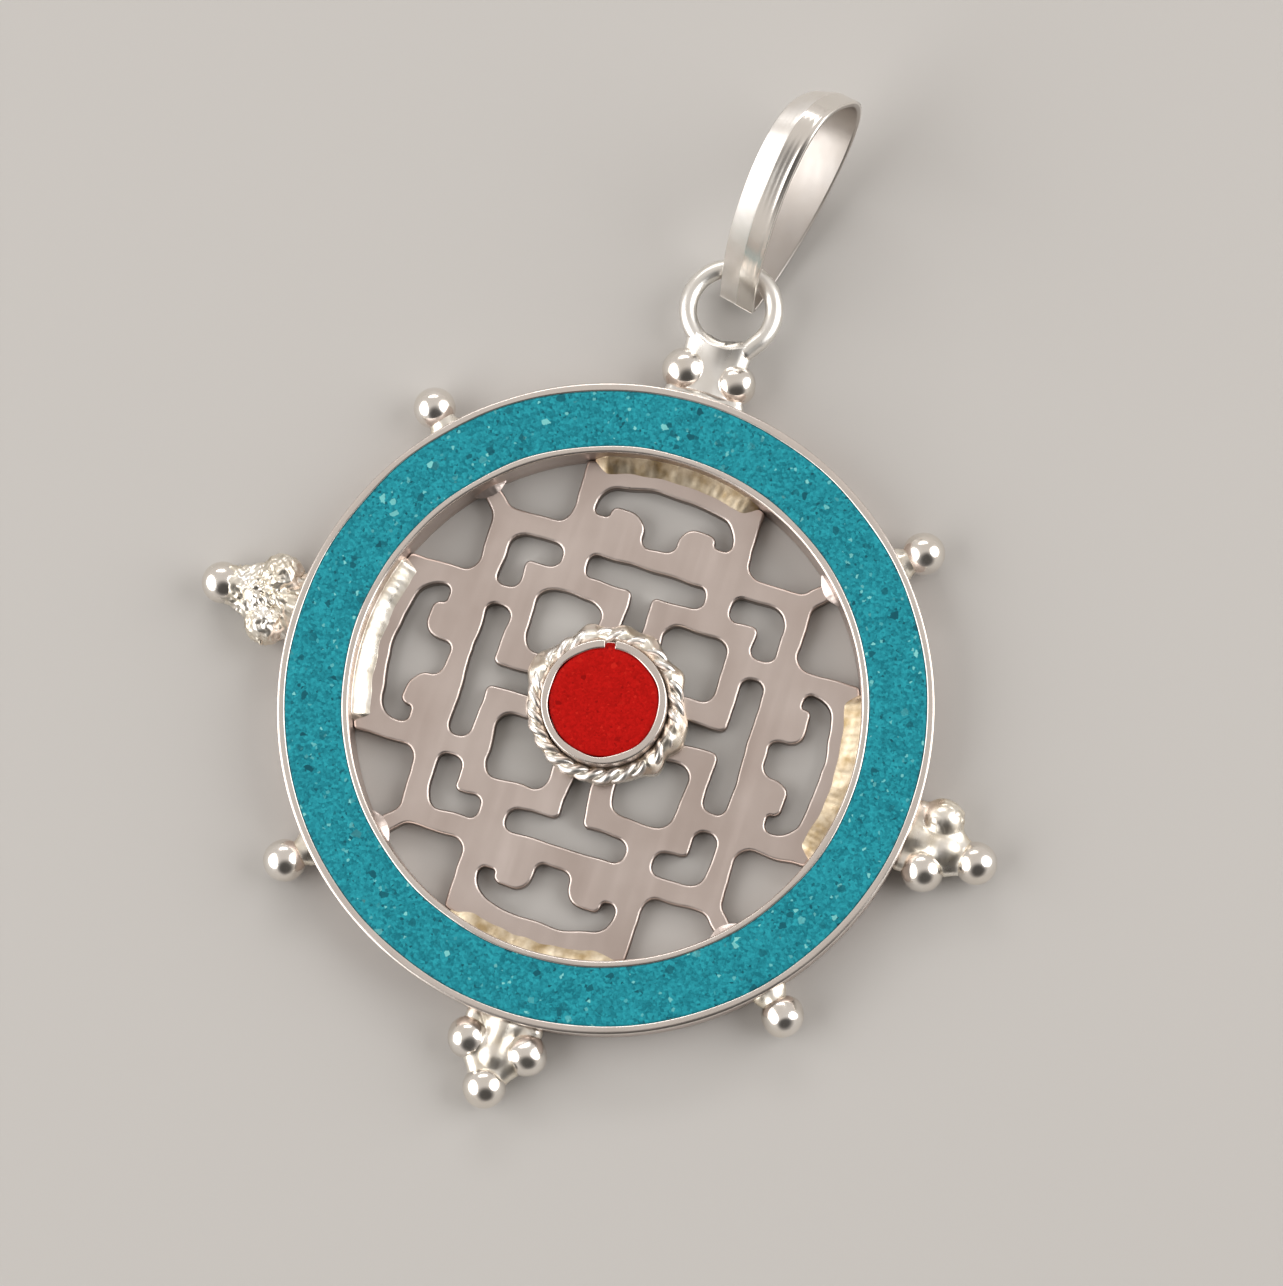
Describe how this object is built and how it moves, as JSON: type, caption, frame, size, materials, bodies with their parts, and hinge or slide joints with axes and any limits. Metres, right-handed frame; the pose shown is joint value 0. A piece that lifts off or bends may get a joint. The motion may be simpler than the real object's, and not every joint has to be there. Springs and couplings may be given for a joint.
{
  "type": "dharma wheel pendant",
  "caption": "Round silver dharma wheel pendant with a turquoise-filled rim, pierced disc, coral hub, shot balls round the rim and a loose drop-shaped bail on a soldered ring.",
  "frame": {"origin": "centre of the wheel on its flat back plane", "axes": "+Z out of the front, +Y from the wheel's centre to the hanging ring and bail, +X to the right seen from the front"},
  "size_m": [0.0428, 0.0539, 0.0092],
  "materials": {
    "satin_silver": "hand-filed sterling silver sheet, satin",
    "bright_silver": "polished sterling silver shot, wire and strip",
    "solder_silver": "hard silver solder as it ran, slightly warm",
    "turquoise_resin": "crushed turquoise in resin, ground flush and polished",
    "coral_resin": "coral-red resin, softly polished"
  },
  "bodies": {
    "wheel": {"channel_floor": "satin_silver", "outer_wall": "satin_silver", "inner_wall": "satin_silver", "turquoise_inlay": "turquoise_resin", "fret_disc": "satin_silver", "solder_run_top": "solder_silver", "solder_run_left": "solder_silver", "solder_run_bottom": "solder_silver", "solder_run_right": "solder_silver", "spoke_solder": "solder_silver", "hub_plate": "satin_silver", "hub_bezel": "satin_silver", "coral_inlay": "coral_resin", "twist_strand_a": "bright_silver", "twist_strand_b": "bright_silver", "rim_ball_1": "bright_silver", "rim_ball_2": "bright_silver", "rim_ball_3": "bright_silver", "rim_ball_4": "bright_silver", "ball_solder": "solder_silver", "left_ball_1": "bright_silver", "left_ball_2": "bright_silver", "left_ball_3": "bright_silver", "left_solder": "solder_silver", "right_ball_1": "bright_silver", "right_ball_2": "bright_silver", "right_ball_3": "bright_silver", "right_solder": "solder_silver", "bottom_ball_1": "bright_silver", "bottom_ball_2": "bright_silver", "bottom_ball_3": "bright_silver", "bottom_solder": "solder_silver", "top_ball_left": "bright_silver", "top_ball_right": "bright_silver", "hang_ring": "bright_silver", "ring_solder": "solder_silver"},
    "bail": {"bail": "bright_silver"}
  },
  "joints": [
    {"name": "bail_swing", "type": "hinge", "parent": "wheel", "child": "bail", "pos_m": [0.0004, 0.02361, 0.00155], "axis": [0.9833, -0.1822, 0], "range_deg": [-140, 88]}
  ]
}
